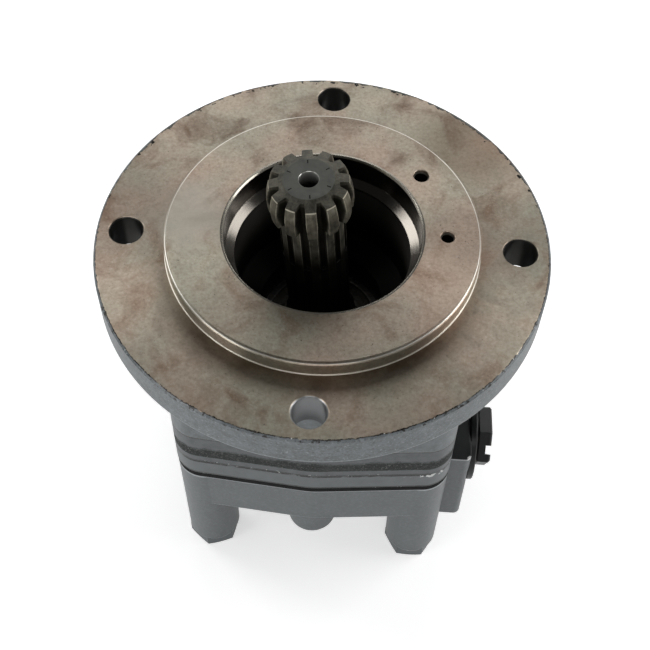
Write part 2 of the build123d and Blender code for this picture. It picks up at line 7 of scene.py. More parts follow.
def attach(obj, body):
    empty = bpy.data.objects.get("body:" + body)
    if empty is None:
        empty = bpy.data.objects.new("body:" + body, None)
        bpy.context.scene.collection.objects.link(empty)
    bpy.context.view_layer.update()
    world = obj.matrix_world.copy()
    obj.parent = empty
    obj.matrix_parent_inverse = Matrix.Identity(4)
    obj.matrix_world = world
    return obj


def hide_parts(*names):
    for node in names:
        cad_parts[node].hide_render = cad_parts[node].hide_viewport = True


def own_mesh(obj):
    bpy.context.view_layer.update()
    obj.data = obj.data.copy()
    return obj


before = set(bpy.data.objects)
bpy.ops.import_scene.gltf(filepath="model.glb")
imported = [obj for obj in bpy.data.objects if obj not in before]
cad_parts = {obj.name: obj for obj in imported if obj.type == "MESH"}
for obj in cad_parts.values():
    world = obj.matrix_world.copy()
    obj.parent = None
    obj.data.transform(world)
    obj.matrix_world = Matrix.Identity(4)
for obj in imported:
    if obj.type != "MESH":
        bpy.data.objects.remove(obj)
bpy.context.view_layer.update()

# The viewpoint
# A camera looks down on the flange from the front, a little to the right of square, at about
# 0.4 m. Its place, tilt and roll were fitted to the flange, the pilot, the bore and the holes.
view_distance = 0.4002
view_height_angle = math.radians(51.76)
view_pitch = math.radians(3.94)
view_yaw = math.radians(0.34)
view_roll = math.radians(1.46)
view_turn = math.radians(2.65)
view_lens = 67.26
turn = Matrix.Rotation(view_turn, 3, "Z")
eye = turn @ Vector((0, -view_distance * math.cos(view_height_angle),
                     view_distance * math.sin(view_height_angle)))
down = view_height_angle + view_pitch
aim = turn @ Vector((math.sin(view_yaw) * math.cos(down), math.cos(view_yaw) * math.cos(down),
                     -math.sin(down)))
right = aim.cross(Vector((0, 0, 1))).normalized()
up = right.cross(aim)
rolled_right = math.cos(view_roll) * right + math.sin(view_roll) * up
rolled_up = math.cos(view_roll) * up - math.sin(view_roll) * right
camera = bpy.data.objects.new("camera", bpy.data.cameras.new("camera"))
bpy.context.scene.collection.objects.link(camera)
placing = Matrix((rolled_right, rolled_up, -aim)).transposed().to_4x4()
placing.translation = eye
camera.matrix_world = placing
camera.data.lens = view_lens
camera.data.sensor_width = 36
camera.data.clip_end = 20
bpy.context.scene.camera = camera
bpy.context.scene.view_settings.view_transform = "Standard"

# Mounting flange
# A grey-iron casting: round flange with a raised pilot, square barrel below. Its face, pilot and bore
# are turned on a lathe, which leaves fine rings that catch the light in two fans, with handling
# stains on them. Its rim and barrel keep the cast skin under grey paint, chipped along the edge.
face_metal = "b9a797"
face_cool = "aca797"
face_stain = "7d6554"
face_dark = "6a5c4f"
face_freckle = "40372e"
sand_dark = "5a5148"
sand_light = "d9d2c6"
patch_brown = "6b5a49"
patch_highlight = "d6cfc2"
face_foot = "5d4f40"
wall_metal = "a9a499"
bore_metal = "625d57"
bore_ledge_highlight = "827d76"
bore_ledge_shade = "3d3a36"
bore_lower_shade = "3a3835"
bore_deep_shade_and_oil = "121110"
painted_edge_highlight = "ece8de"
pilot_edge_r = 0.05062
pilot_lip_r = 0.05130
hole_metal = "a0a1a2"
hole_deep = "5a5c5d"
hole_dark = "3a3937"
paint_low = "606567"
paint_high = "767c7f"
paint_grain_dark = "383c3e"
paint_grain_light = "a3a9ab"
paint_lip_highlight = "b4babc"
paint_torn = "4b4f4c"
edge_dark = "2a2826"
chip_and_highlight_bright = "cfd1cf"
flange_r = 0.075
flange_foot = -0.0150
lip_top = -0.0122
lip_low = -0.0136
lip_r = 0.0735
barrel_foot = -0.04895
paint_from_r = 0.0345
paint_top = 0.0035
face_drop = 0.0009
pilot_r = 0.05175
pilot_bevel_r = 0.05070
pilot_bevel_foot = 0.0050
edge_line_half = 0.00012
foot_dark_r = 0.0600
foot_dark_end_r = 0.0710
bore_r = 0.0334
mouth_low = 0.0052
mouth_high = 0.0058
ledge_top = -0.0030
ledge_low = -0.0048
shade_and_oil_from = -0.0120
shade_and_oil_full = -0.0220
hole_circle_r = 0.065
hole_wall_r = 0.0061
hole_bright_to = -0.002
hole_shaded_from = -0.012
front_hole_y = -0.05
back_from_y = 0.010
back_full_y = 0.045
border_inset = 0.0013
border_line_half = 0.00014
ring_pitch = 0.0006
smear_size = 0.014
cloud_size = 0.030
mottle_size = 0.0016
freckle_size = 0.0007
sand_size = 0.0009
cast_grain_size = 0.0008


def linear(code):
    """Linear colour, with alpha, of an sRGB hex value."""
    parts = [int(code[i:i + 2], 16) / 255 for i in (0, 2, 4)]
    return [c / 12.92 if c <= 0.04045 else ((c + 0.055) / 1.055) ** 2.4 for c in parts] + [1.0]


def add(tree, kind, inputs=None, **settings):
    """Adds one node with its settings, and gives each named input a value or a link."""
    node = tree.nodes.new(kind)
    for name, value in settings.items():
        setattr(node, name, value)
    for socket, value in (inputs or {}).items():
        if isinstance(value, bpy.types.NodeSocket):
            tree.links.new(value, node.inputs[socket])
        else:
            node.inputs[socket].default_value = linear(value) if isinstance(value, str) else value
    return node


def ramp(tree, value, stops):
    """Colour ramp through the given positions and hex colours or grey levels."""
    node = add(tree, "ShaderNodeValToRGB", {"Fac": value})
    points = node.color_ramp.elements
    while len(points) < len(stops):
        points.new(1.0)
    for point, (place, colour) in zip(points, stops):
        point.position = place
        point.color = linear(colour) if isinstance(colour, str) else (colour, colour, colour, 1.0)
    return node.outputs["Color"]


def blank(name):
    """A new material: itself, its tree, its shader and the object's own coordinates."""
    material = bpy.data.materials.new(name)
    material.use_nodes = True
    tree = material.node_tree
    return material, tree, tree.nodes["Principled BSDF"], add(tree, "ShaderNodeTexCoord").outputs["Object"]


def between(tree, amount, first, second):
    """Colour that goes from first to second with the amount."""
    return add(tree, "ShaderNodeMix", {0: amount, 6: first, 7: second}, data_type="RGBA").outputs[2]


def level(tree, amount, first, second):
    """Number that goes from first to second with the amount."""
    return add(tree, "ShaderNodeMix", {0: amount, 2: first, 3: second}, data_type="FLOAT").outputs[0]


def calc(tree, operation, *values):
    """Result of one sum on numbers."""
    return add(tree, "ShaderNodeMath", dict(enumerate(values)), operation=operation).outputs[0]


def span(tree, value, low, high):
    """Number that rises from 0 to 1, or falls where low is over high, as the value goes between them."""
    return add(tree, "ShaderNodeMapRange", {"Value": value, "From Min": low, "From Max": high}).outputs[0]


def noise(tree, where, size, detail=4.0, rough=0.55, twist=0.0, shift=(0, 0, 0)):
    """Noise whose patches are about size metres across."""
    moved = add(tree, "ShaderNodeVectorMath", {0: where, 1: shift}, operation="ADD").outputs[0]
    settings = {"Vector": moved, "Scale": 1.0 / size, "Detail": detail, "Roughness": rough,
                "Distortion": twist}
    return add(tree, "ShaderNodeTexNoise", settings).outputs["Fac"]


def polar(tree, where):
    """X, Y and Z of a place, the level vector to it from the Z axis, and that vector's length."""
    parts = add(tree, "ShaderNodeSeparateXYZ", {0: where})
    x, y, z = (parts.outputs[name] for name in "XYZ")
    flat = add(tree, "ShaderNodeCombineXYZ", {"X": x, "Y": y}).outputs[0]
    radius = add(tree, "ShaderNodeVectorMath", {0: flat}, operation="LENGTH").outputs["Value"]
    return x, y, z, flat, radius


def dress(material, *names):
    """Gives a material to CAD nodes."""
    for name in names:
        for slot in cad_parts[name].material_slots:
            slot.material = material


flange_metal, tree, shader, where = blank("turned_grey_iron_with_painted_rim")
x, y, height, flat, radius = polar(tree, where)
toward_back = calc(tree, "DIVIDE", y, radius)
clouds = noise(tree, where, cloud_size, 3.0, 0.5)
mottle = noise(tree, where, mottle_size, 4.0, 0.6, 0.0, (0.3, 0.1, 0.0))
smears = noise(tree, where, smear_size, 6.0, 0.6, 0.6, (0.23, 0.52, 0.0))
freckles = noise(tree, where, freckle_size, 2.0, 0.5, 0.0, (0.7, 0.2, 0.0))
sand = noise(tree, where, sand_size, 2.0, 0.5, 0.0, (0.1, 0.8, 0.4))
ragged = noise(tree, where, 0.0016, 5.0, 0.7)

# The turned faces: warm grey with soft clouds, brown smears, a few dark freckles and a fine sandy tooth.
face = between(tree, span(tree, clouds, 0.38, 0.64), face_cool, face_metal)
face = between(tree, calc(tree, "MULTIPLY", span(tree, smears, 0.50, 0.70), 0.75), face, face_stain)
face = between(tree, calc(tree, "MULTIPLY", span(tree, mottle, 0.45, 0.80), 0.35), face, face_dark)
face = between(tree, calc(tree, "MULTIPLY", span(tree, freckles, 0.32, 0.24), 0.7), face, face_freckle)
face = between(tree, calc(tree, "MULTIPLY", span(tree, sand, 0.48, 0.28), 0.20), face, sand_dark)
face = between(tree, calc(tree, "MULTIPLY", span(tree, sand, 0.54, 0.74), 0.20), face, sand_light)

# Two broad patches: a brown one on the flange at the back right, and a painted highlight on the pilot's left.
patches = (((0.048, 0.046, 0.0), 0.016, 0.030, patch_brown),
           ((-0.044, 0.004, 0.006), 0.012, 0.024, patch_highlight))
for place, inner, outer, tint in patches:
    apart = add(tree, "ShaderNodeVectorMath", {0: where, 1: place}, operation="DISTANCE").outputs["Value"]
    patch = span(tree, calc(tree, "MULTIPLY_ADD", smears, 0.012, apart), outer, inner)
    face = between(tree, calc(tree, "MULTIPLY", patch, 0.55), face, tint)

# Darker and browner round the pilot's foot, most at the front.
foot = span(tree, calc(tree, "MULTIPLY_ADD", smears, 0.016, radius), foot_dark_end_r, foot_dark_r)
foot = calc(tree, "MULTIPLY", foot, calc(tree, "GREATER_THAN", radius, pilot_r))
foot = calc(tree, "MULTIPLY", foot, calc(tree, "LESS_THAN", height, 0.0008))
foot = calc(tree, "MULTIPLY", foot, span(tree, toward_back, 0.1, -0.75))
face = between(tree, calc(tree, "MULTIPLY", foot, 0.85), face, face_foot)

# The bore: a painted highlight on the ledge under its mouth at the two sides, with painted shade on it at
# the front and back, then painted shade below it, darkest toward the floor, where oil has also dried.
inside = calc(tree, "LESS_THAN", radius, bore_r)
# Painted highlight on the ledge where the side lamps reflect, painted shade elsewhere on it.
painted_ledge_highlight = calc(tree, "MULTIPLY", span(tree, toward_back, -0.20, 0.20),
                   span(tree, toward_back, 0.75, 0.45))
ledge_colour = between(tree, painted_ledge_highlight, bore_ledge_shade, bore_ledge_highlight)
bore = between(tree, span(tree, height, ledge_top, ledge_top - 0.0002), bore_metal, ledge_colour)
# Painted shade: the wall darker below the ledge and darker still toward the floor, with dried oil.
bore = between(tree, span(tree, height, ledge_low, ledge_low - 0.0008), bore, bore_lower_shade)
bore = between(tree, span(tree, height, shade_and_oil_from, shade_and_oil_full), bore, bore_deep_shade_and_oil)
bore = between(tree, span(tree, height, mouth_low, mouth_high), bore, wall_metal)
face = between(tree, inside, face, bore)

# Painted highlights along the pilot's turned edges: a line round the top edge, strongest at the sides and the
# back, and one round its foot.
line_r = level(tree, span(tree, toward_back, 0.35, -0.20), pilot_edge_r, pilot_lip_r)
edge_highlight_ring = calc(tree, "ABSOLUTE", calc(tree, "SUBTRACT", radius, line_r))
edge_highlight_ring = span(tree, edge_highlight_ring, edge_line_half + 0.00008, edge_line_half)
near_top = calc(tree, "GREATER_THAN", height, pilot_bevel_foot - 0.0005)
edge_highlight_ring = calc(tree, "MULTIPLY", edge_highlight_ring, near_top)
toward_side = span(tree, calc(tree, "ABSOLUTE", calc(tree, "DIVIDE", x, radius)), 0.05, 0.55)
toward_side = calc(tree, "MAXIMUM", toward_side, calc(tree, "GREATER_THAN", toward_back, 0.0))
edge_highlight_ring = calc(tree, "MULTIPLY", edge_highlight_ring, level(tree, toward_side, 0.35, 1.0))
foot_highlight_ring = calc(tree, "MULTIPLY", calc(tree, "GREATER_THAN", radius, pilot_r - 0.0001),
                 calc(tree, "LESS_THAN", radius, pilot_r + 0.0003))
foot_highlight_ring = calc(tree, "MULTIPLY", foot_highlight_ring, calc(tree, "LESS_THAN", height, 0.0004))
face = between(tree, calc(tree, "MAXIMUM", edge_highlight_ring, foot_highlight_ring), face, painted_edge_highlight)

# The four holes: drilled through and bare; the front one light at the top with painted shade below, the
# others dark.
wide = calc(tree, "ABSOLUTE", x)
long = calc(tree, "ABSOLUTE", y)
hole_x = calc(tree, "SUBTRACT", calc(tree, "MAXIMUM", wide, long), hole_circle_r)
hole_y = calc(tree, "MINIMUM", wide, long)
hole_place = add(tree, "ShaderNodeCombineXYZ", {"X": hole_x, "Y": hole_y}).outputs[0]
hole_gap = add(tree, "ShaderNodeVectorMath", {0: hole_place}, operation="LENGTH").outputs["Value"]
in_hole = calc(tree, "LESS_THAN", hole_gap, hole_wall_r)
hole_colour = between(tree, span(tree, height, hole_bright_to, hole_shaded_from), hole_metal, hole_deep)
hole_colour = between(tree, calc(tree, "LESS_THAN", y, front_hole_y), hole_dark, hole_colour)
below_face = calc(tree, "LESS_THAN", height, -0.0002)
face = between(tree, calc(tree, "MULTIPLY", in_hole, below_face), face, hole_colour)

# Paint on the rim and the barrel, its upper border ragged, and torn away along the back.
at_back = span(tree, y, back_from_y, back_full_y)
torn = span(tree, noise(tree, where, 0.0045, 3.0, 0.6, 0.0, (0.9, 0.4, 0.7)), 0.40, 0.60)
torn = calc(tree, "MULTIPLY", torn, at_back)
border = calc(tree, "MULTIPLY_ADD", ragged, 0.0012, flange_r - border_inset)
past_edge = calc(tree, "SUBTRACT", radius, calc(tree, "MULTIPLY_ADD", torn, -0.0009, border))
on_rim = calc(tree, "GREATER_THAN", past_edge, 0.0)
on_skirt = calc(tree, "MULTIPLY", calc(tree, "LESS_THAN", height, -face_drop),
                calc(tree, "GREATER_THAN", radius, paint_from_r))
painted = calc(tree, "MULTIPLY", calc(tree, "MAXIMUM", on_rim, on_skirt),
               calc(tree, "LESS_THAN", height, paint_top))
painted = calc(tree, "MULTIPLY", painted, calc(tree, "SUBTRACT", 1.0, in_hole))
painted = calc(tree, "MULTIPLY", painted, calc(tree, "GREATER_THAN", height, barrel_foot))
paint = between(tree, span(tree, noise(tree, where, 0.004, 5.0, 0.65), 0.35, 0.7), paint_low, paint_high)
grain = noise(tree, where, cast_grain_size, 4.0, 0.65)
on_disc = calc(tree, "GREATER_THAN", height, flange_foot)
speckle = level(tree, on_disc, 0.30, 0.75)
dark_grain = calc(tree, "MULTIPLY", span(tree, grain, 0.46, 0.32), speckle)
paint = between(tree, dark_grain, paint, paint_grain_dark)
light_grain = calc(tree, "MULTIPLY", span(tree, grain, 0.57, 0.70), speckle)
paint = between(tree, light_grain, paint, paint_grain_light)
# A painted highlight along the rim's lower rounding.
lip_highlight = calc(tree, "MULTIPLY", span(tree, height, lip_top, lip_top - 0.0004),
               span(tree, height, lip_low, lip_low + 0.0005))
lip_highlight = calc(tree, "MULTIPLY", lip_highlight, calc(tree, "GREATER_THAN", radius, lip_r))
paint = between(tree, calc(tree, "MULTIPLY", lip_highlight, 0.7), paint, paint_lip_highlight)
near_face = calc(tree, "GREATER_THAN", height, -face_drop - 0.0002)
paint = between(tree, calc(tree, "MULTIPLY", at_back, near_face), paint, paint_torn)
colour = between(tree, painted, face, paint)

# A dark broken line where the paint ends, with bright nicks in the edge.
near = calc(tree, "MULTIPLY", calc(tree, "LESS_THAN", calc(tree, "ABSOLUTE", past_edge), border_line_half),
            calc(tree, "GREATER_THAN", height, -face_drop))
near = calc(tree, "MULTIPLY", near, span(tree, noise(tree, where, 0.005, 2.0), 0.35, 0.5))
colour = between(tree, near, colour, edge_dark)
nicks = span(tree, noise(tree, where, 0.0010, 2.0, 0.5, 0.0, (0.4, 0.9, 0.2)), 0.70, 0.72)
nick_zone = calc(tree, "GREATER_THAN", past_edge, level(tree, at_back, -0.0003, -0.0014))
nick_zone = calc(tree, "MULTIPLY", nick_zone, near_face)
colour = between(tree, calc(tree, "MULTIPLY", nicks, nick_zone), colour, chip_and_highlight_bright)
dents = span(tree, noise(tree, where, 0.0022, 3.0, 0.6, 0.0, (0.8, 0.3, 0.2)), 0.58, 0.62)
colour = between(tree, calc(tree, "MULTIPLY", dents, nick_zone), colour, edge_dark)
tree.links.new(colour, shader.inputs["Base Color"])
tree.links.new(calc(tree, "SUBTRACT", 1.0, painted), shader.inputs["Metallic"])
face_rough = level(tree, span(tree, smears, 0.4, 0.7), 0.34, 0.46)
bore_rough = level(tree, span(tree, height, ledge_low - 0.0002, ledge_low - 0.0010), 0.19, 0.50)
face_rough = level(tree, inside, face_rough, bore_rough)
tree.links.new(level(tree, painted, face_rough, 0.30), shader.inputs["Roughness"])

# Lathe marks: the light spreads across them, along the radius on faces and along the axis on walls.
shader.inputs["Anisotropic"].default_value = 0.8
around = add(tree, "ShaderNodeVectorMath", {0: (0, 0, 1), 1: flat}, operation="CROSS_PRODUCT").outputs[0]
around = add(tree, "ShaderNodeVectorTransform", {0: around}, vector_type="VECTOR", convert_from="OBJECT",
             convert_to="WORLD").outputs[0]
facing = add(tree, "ShaderNodeNewGeometry").outputs["Normal"]
across = add(tree, "ShaderNodeVectorMath", {0: around, 1: facing}, operation="CROSS_PRODUCT").outputs[0]
tree.links.new(across, shader.inputs["Tangent"])
rings = add(tree, "ShaderNodeTexNoise", {"W": radius, "Scale": 1.0 / ring_pitch, "Detail": 2.0},
            noise_dimensions="1D").outputs["Fac"]
relief = level(tree, painted, rings, grain)
depth = level(tree, painted, 0.10, level(tree, on_disc, 0.30, 0.65))
edges = add(tree, "ShaderNodeBevel", {"Radius": 0.0003}, samples=4).outputs[0]

# The pilot's edge is only broken, so most of the bevel there shines like the face it ends.
on_bevel = calc(tree, "MULTIPLY", span(tree, radius, pilot_bevel_r, pilot_bevel_r + 0.00008),
                span(tree, radius, pilot_lip_r + 0.0001, pilot_lip_r - 0.0001))
on_bevel = calc(tree, "MULTIPLY", on_bevel, calc(tree, "GREATER_THAN", height, pilot_bevel_foot))
edges = add(tree, "ShaderNodeMix", {0: on_bevel, 4: edges, 5: (0.0, 0.0, 1.0)}, data_type="VECTOR").outputs[1]
bump = add(tree, "ShaderNodeBump", {"Strength": depth, "Distance": 0.00012, "Height": relief,
                                    "Normal": edges})
tree.links.new(bump.outputs[0], shader.inputs["Normal"])
dress(flange_metal, "mounting_flange")

# Threads of the two service holes
# Two small blind holes in the pilot's face, tapped in the same iron. The cut flanks are painted bright at
# the mouth as a highlight and dark below as shade. Each thread is one ridge wound up the hole's wall.
thread_painted_shade = "1d1a17"
thread_painted_highlight = "e2ded6"
thread_low = -0.0019
thread_pitch = 0.0008
thread_depth = 0.0003
thread_turns = 9
thread_steps = 24
service_threads = ((0.0406, 0.0, 0.0023), (0.0406, 39.0, 0.0026))
tapped_iron, tree, shader, where = blank("tapped_iron")
height = add(tree, "ShaderNodeSeparateXYZ", {0: where}).outputs["Z"]
# Painted highlight on the flanks at the mouth, painted shade below it.
flank = between(tree, span(tree, height, 0.0042, 0.0056), thread_painted_shade, thread_painted_highlight)
tree.links.new(flank, shader.inputs["Base Color"])
shader.inputs["Metallic"].default_value = 1.0
tree.links.new(level(tree, noise(tree, where, 0.0005), 0.25, 0.55), shader.inputs["Roughness"])
for index, (circle_r, angle, hole_r) in enumerate(service_threads):
    bm = bmesh.new()
    centre = Vector((circle_r * math.cos(math.radians(angle)), circle_r * math.sin(math.radians(angle)), 0))
    bmesh.ops.create_circle(bm, cap_ends=True, segments=3, radius=thread_pitch * 0.5)
    bmesh.ops.scale(bm, vec=(thread_depth / thread_pitch / 0.75, 1, 1), verts=bm.verts)
    bmesh.ops.rotate(bm, cent=(0, 0, 0), matrix=Matrix.Rotation(math.pi / 2, 3, "X"), verts=bm.verts)
    bmesh.ops.rotate(bm, cent=(0, 0, 0), matrix=Matrix.Rotation(math.pi, 3, "Z"), verts=bm.verts)
    bmesh.ops.translate(bm, vec=centre + Vector((hole_r - thread_depth * 0.5, 0, thread_low)), verts=bm.verts)
    bmesh.ops.spin(bm, geom=list(bm.faces), cent=centre, axis=(0, 0, 1),
                   dvec=(0, 0, thread_pitch / thread_steps), angle=2 * math.pi * thread_turns,
                   steps=thread_steps * thread_turns, use_duplicate=False)
    bmesh.ops.recalc_face_normals(bm, faces=bm.faces)
    mesh = bpy.data.meshes.new(f"service_thread_{index + 1}")
    bm.to_mesh(mesh)
    bm.free()
    thread = bpy.data.objects.new(f"service_thread_{index + 1}", mesh)
    bpy.context.scene.collection.objects.link(thread)
    mesh.materials.append(tapped_iron)
    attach(thread, "housing")

# Wear plate, rotor, thrust button, disc valve, balance plate and its pins
# Hardened alloy steel, ground flat on all working faces: the parts that seal the chambers against
# each other. Ground steel is a cool even grey with fine straight lines and a thin film of oil.
ground_light = "a9a7a2"
ground_dark = "7c7a75"
ground_steel, tree, shader, where = blank("ground_hard_steel")
lines = add(tree, "ShaderNodeMapping", {"Vector": where, "Scale": (1.0, 14.0, 14.0)}).outputs[0]
lay = noise(tree, lines, 0.006, 5.0, 0.65)
film = noise(tree, where, 0.008, 3.0)
tree.links.new(ramp(tree, lay, [(0.3, ground_dark), (0.7, ground_light)]), shader.inputs["Base Color"])
shader.inputs["Metallic"].default_value = 1.0
tree.links.new(ramp(tree, film, [(0.3, 0.22), (0.7, 0.38)]), shader.inputs["Roughness"])
edges = add(tree, "ShaderNodeBevel", {"Radius": 0.0003}, samples=4).outputs[0]
bump = add(tree, "ShaderNodeBump", {"Strength": 0.12, "Distance": 0.00005, "Height": lay, "Normal": edges})
tree.links.new(bump.outputs[0], shader.inputs["Normal"])
dress(ground_steel, "wear_plate", "rotor", "thrust_button", "disc_valve", "balance_plate", "balance_pins")

# Round seals between the layers, and the black joint seal above the rear casting
# Nitrile rubber, moulded: a dull black with a faint bloom. The joint seal fills the open gap under
# the channel plate and shows as the black line round the body, with grit and paint on it.
rubber_black = "050606"
rubber_bloom = "0d0f0f"
rubber, tree, shader, where = blank("nitrile_rubber")
bloom = noise(tree, where, 0.004, 4.0)
tree.links.new(ramp(tree, bloom, [(0.35, rubber_black), (0.75, rubber_bloom)]), shader.inputs["Base Color"])
shader.inputs["Specular IOR Level"].default_value = 0.2
tree.links.new(ramp(tree, bloom, [(0.3, 0.65), (0.7, 0.85)]), shader.inputs["Roughness"])
pores = noise(tree, where, 0.0007)
bump = add(tree, "ShaderNodeBump", {"Strength": 0.3, "Distance": 0.0001, "Height": pores})
tree.links.new(bump.outputs[0], shader.inputs["Normal"])
dress(rubber, "front_seal", "channel_seal", "balance_seal", "body_gasket")

# Gear ring
# A steel ring with seven roller pockets. Its outside is left as rolled in the middle, a rough dark
# band with a torn upper border between two machined strips, all sprayed with the body's grey paint.
ring_top = -0.0490
ring_foot = -0.0655
band_top = -0.0552
band_full = -0.0572
band_low = -0.0618
band_lift = 0.0035
pockets_r = 0.041
seam_depth = 0.0003
dark_line_rise = 0.0013
chip_rise = 0.0017
iron_dark = "7f7d79"
iron_light = "9a9893"
band_black = "121415"
band_brown = "2d302e"
band_grey = "8d908b"
band_sprayed = "474b49"
strip_shaded_low = "454a4c"
strip_shaded_high = "575c5e"
strip_corner = "757a7c"
seam_black = "151717"


def rounded(tree, radius, ragged, start, full):
    """Normal softened at the edges, and how near an edge a point is, from 0 to 1, ragged by a noise."""
    soft = add(tree, "ShaderNodeBevel", {"Radius": radius}, samples=4).outputs[0]
    plain = add(tree, "ShaderNodeNewGeometry").outputs["Normal"]
    sharp = add(tree, "ShaderNodeVectorMath", {0: soft, 1: plain}, operation="DOT_PRODUCT").outputs["Value"]
    return soft, span(tree, calc(tree, "MULTIPLY_ADD", ragged, 0.06, sharp), start, full)


def ground_inside(tree, shader, where, colour, rough, top, low, within):
    """Bare ground iron on a layer's flat faces and inside a radius, the given look elsewhere."""
    height, _, radius = polar(tree, where)[2:]
    bare = calc(tree, "MAXIMUM", calc(tree, "GREATER_THAN", height, top - 0.00001),
                calc(tree, "LESS_THAN", height, low + 0.00001))
    bare = calc(tree, "MAXIMUM", bare, calc(tree, "LESS_THAN", radius, within))
    lay = noise(tree, where, 0.0035, 4.0, 0.6)
    iron = between(tree, span(tree, lay, 0.35, 0.65), iron_dark, iron_light)
    tree.links.new(between(tree, bare, colour, iron), shader.inputs["Base Color"])
    tree.links.new(bare, shader.inputs["Metallic"])
    tree.links.new(level(tree, bare, rough, 0.32), shader.inputs["Roughness"])


painted_ring, tree, shader, where = blank("painted_gear_ring")
height = add(tree, "ShaderNodeSeparateXYZ", {0: where}).outputs["Z"]
ragged = noise(tree, where, 0.0012, 5.0, 0.75)
broad = noise(tree, where, 0.007, 3.0, 0.6)
wavy = calc(tree, "MULTIPLY_ADD", ragged, 0.0010, height)
torn = calc(tree, "MULTIPLY_ADD", broad, 0.0040, calc(tree, "MULTIPLY_ADD", ragged, 0.0030, height))
band = calc(tree, "MULTIPLY", span(tree, torn, band_top + band_lift, band_full + band_lift),
            span(tree, wavy, band_low + 0.0004, band_low + 0.0007))
skin = noise(tree, where, 0.0006, 4.0, 0.7)
skin = ramp(tree, skin, [(0.35, band_black), (0.58, band_brown), (0.70, band_grey)])
skin = between(tree, calc(tree, "MULTIPLY", span(tree, broad, 0.50, 0.65), 0.5), skin, band_sprayed)
# The machined strips are painted darker than the rest of the body's grey, as shade under the flange.
shaded_plain_paint = ramp(tree, noise(tree, where, 0.003, 5.0), [(0.3, strip_shaded_low), (0.7, strip_shaded_high)])
colour = between(tree, band, shaded_plain_paint, skin)
edges, worn = rounded(tree, 0.0006, ragged, 1.0, 0.96)
colour = between(tree, calc(tree, "MULTIPLY", worn, 0.6), colour, strip_corner)
broken = span(tree, noise(tree, where, 0.005, 3.0, 0.6, 0.0, (0.1, 0.5, 0.3)), 0.36, 0.46)
foot = calc(tree, "MULTIPLY", calc(tree, "LESS_THAN", wavy, ring_foot + dark_line_rise),
            level(tree, broken, 0.45, 1.0))
seam = calc(tree, "GREATER_THAN", height, ring_top - seam_depth)
colour = between(tree, calc(tree, "MAXIMUM", foot, seam), colour, seam_black)
chips = span(tree, noise(tree, where, 0.0011, 2.0, 0.5, 0.0, (0.2, 0.2, 0.6)), 0.67, 0.70)
chips = calc(tree, "MULTIPLY", chips, calc(tree, "LESS_THAN", wavy, ring_foot + chip_rise))
colour = between(tree, chips, colour, chip_and_highlight_bright)
ground_inside(tree, shader, where, colour, level(tree, band, 0.36, 0.8), ring_top, ring_foot, pockets_r)
depth = level(tree, band, 0.25, 1.0)
bump = add(tree, "ShaderNodeBump", {"Strength": depth, "Distance": 0.0003, "Height": ragged, "Normal": edges})
tree.links.new(bump.outputs[0], shader.inputs["Normal"])
dress(painted_ring, "stator_ring")

# Rollers and check balls
# Bearing steel, hardened, then lapped to a mirror: brighter and smoother than the ground faces. The
# rollers lie loose in the gear ring's pockets, and each ball rests on its own spring.
steel_dull = "a8a9ab"
steel_bright = "bcbdbf"
bearing_steel, tree, shader, where = blank("lapped_bearing_steel")
haze = noise(tree, where, 0.003, 3.0)
tree.links.new(ramp(tree, haze, [(0.3, steel_dull), (0.7, steel_bright)]), shader.inputs["Base Color"])
shader.inputs["Metallic"].default_value = 1.0
tree.links.new(ramp(tree, haze, [(0.3, 0.12), (0.7, 0.22)]), shader.inputs["Roughness"])
dress(bearing_steel, "check_ball_a", "check_ball_b", *[f"roller_{i + 1}" for i in range(7)])

# Link shaft and valve drive
# Case-hardened steel bars with crowned twelve-tooth ends, quenched in oil, which leaves a dark
# brown-grey skin. The hobbed flanks show lines along the teeth, and the tooth edges are bright, worn and
# partly a painted highlight.
# The six short cuts round the centre hole are left by the driver that turned the blank.
head_centre = Vector((-0.0047, 0.0, 0.0305))
link_centre = Vector((0.0, 0.003, -0.0508))
skin_dark = "3f3e36"
skin_mid = "625f53"
skin_light = "7c796c"
grit_light = "8a877c"
groove_shade = "14130f"
crown_dark = "1d1d1a"
deep_shade_and_oil = "0b0a08"
worn_edge_and_highlight = "c4bfad"
disc_dark = "484945"
disc_light = "5a5b56"
disc_r = 0.0081
mark_dark = "181815"
centre_painted_highlight = "b5b5b0"
centre_painted_shade = "3a3a38"
teeth = 12
marks = 6
crown_from = -0.0017
crown_full = -0.0013
groove_from = -0.0014
groove_full = -0.0022
deep_shade_from = -0.0200
deep_shade_full = -0.033
tip_line_half = 0.00022
tip_edge_r = 0.0129
tip_edge_drop = 0.0012
tooth_half = 0.245
mark_circle_r = 0.0070
mark_length = 0.0007
mark_half_width = 0.00022
centre_hole_r = 0.0033
spline_turn = math.radians(6.5)


